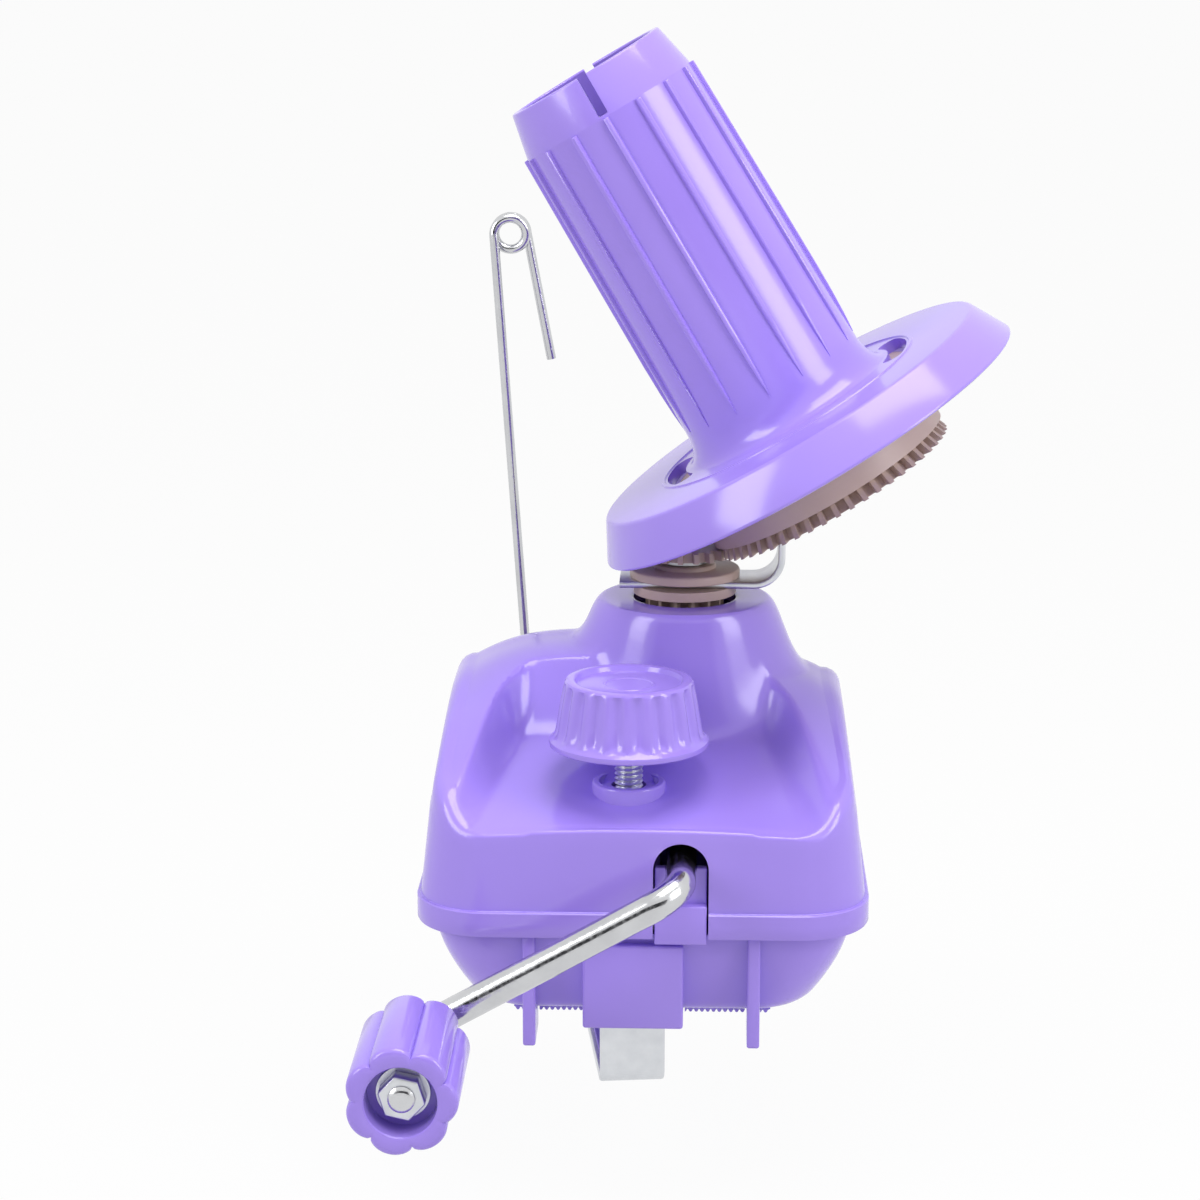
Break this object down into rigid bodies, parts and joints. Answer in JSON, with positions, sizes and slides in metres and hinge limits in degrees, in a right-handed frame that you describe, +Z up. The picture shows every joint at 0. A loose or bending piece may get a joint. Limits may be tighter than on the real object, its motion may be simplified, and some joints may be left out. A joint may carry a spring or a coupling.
{
  "type": "yarn ball winder",
  "caption": "Hand-cranked table-clamp yarn ball winder with a leaning ribbed spool on a rotating arm, geared to a side crank, with a wire yarn guide.",
  "frame": {"origin": "on the table face under the base, below the middle of the body", "axes": "+Z up from the table, +Y away from the person at the crank, +X to their right"},
  "size_m": [0.1317, 0.1779, 0.2146],
  "materials": {
    "purple_abs": "glossy injection-moulded ABS",
    "beige_nylon": "satin moulded nylon",
    "plated_steel": "zinc-plated steel",
    "chromed_steel": "bright plated rod",
    "rubber_pad": "matt ribbed rubber"
  },
  "bodies": {
    "housing": {"upper_cover": "purple_abs", "lower_base": "purple_abs", "grip_pad": "rubber_pad", "cover_screws": "plated_steel", "guide_bush": "purple_abs", "clamp_nut": "plated_steel", "centre_post": "plated_steel", "sun_gear": "beige_nylon", "post_clip": "plated_steel"},
    "crank": {"crank_rod": "chromed_steel", "drive_gear": "beige_nylon", "gear_pin": "plated_steel", "shaft_clip": "plated_steel", "handle_washer": "plated_steel", "handle_nut": "plated_steel"},
    "handle": {"crank_knob": "purple_abs"},
    "rotor": {"pinion": "beige_nylon", "bracket": "plated_steel", "collar_cap": "beige_nylon", "spool_stud": "plated_steel", "stud_washer": "plated_steel", "spool_washer": "plated_steel", "spool_screw": "plated_steel"},
    "spool_unit": {"spool": "purple_abs", "dish_gear": "beige_nylon"},
    "jaw": {"clamp_jaw": "plated_steel", "jaw_pad": "rubber_pad"},
    "clamp": {"clamp_screw": "plated_steel", "clamp_knob": "purple_abs", "screw_clip": "plated_steel"},
    "guide": {"yarn_guide": "chromed_steel"}
  },
  "joints": [
    {"name": "crank_turn", "type": "hinge", "parent": "housing", "child": "crank", "pos_m": [0.008, -0.03, 0.0345], "axis": [0, 1, 0], "continuous": true},
    {"name": "handle_spin", "type": "hinge", "parent": "crank", "child": "handle", "pos_m": [-0.04422, -0.08, 0.00495], "axis": [0, 1, 0], "continuous": true},
    {"name": "rotor_spin", "type": "hinge", "parent": "housing", "child": "rotor", "pos_m": [0.008, 0.012, 0.08], "axis": [0, 0, 1], "continuous": true},
    {"name": "spool_spin", "type": "hinge", "parent": "rotor", "child": "spool_unit", "pos_m": [0.008, 0.012, 0.1547], "axis": [-0.515, 0, 0.8572], "continuous": true},
    {"name": "jaw_lift", "type": "slide", "parent": "housing", "child": "jaw", "axis": [0, 0, 1], "range_m": [-0.0025, 0.009]},
    {"name": "clamp_turn", "type": "hinge", "parent": "jaw", "child": "clamp", "pos_m": [-0.003, -0.029, 0.05], "axis": [0, 0, 1], "range_deg": [-900, 3240]},
    {"name": "guide_swing", "type": "hinge", "parent": "housing", "child": "guide", "pos_m": [-0.029, 0.05, 0.03], "axis": [0, 1, 0], "range_deg": [-80, 0]}
  ],
  "couplings": [
    {"joint": "rotor_spin", "follows": "crank_turn", "ratio": 3.2857},
    {"joint": "spool_spin", "follows": "crank_turn", "ratio": 1.0742},
    {"joint": "clamp_turn", "follows": "jaw_lift", "rad_per_m": 6283.2}
  ]
}
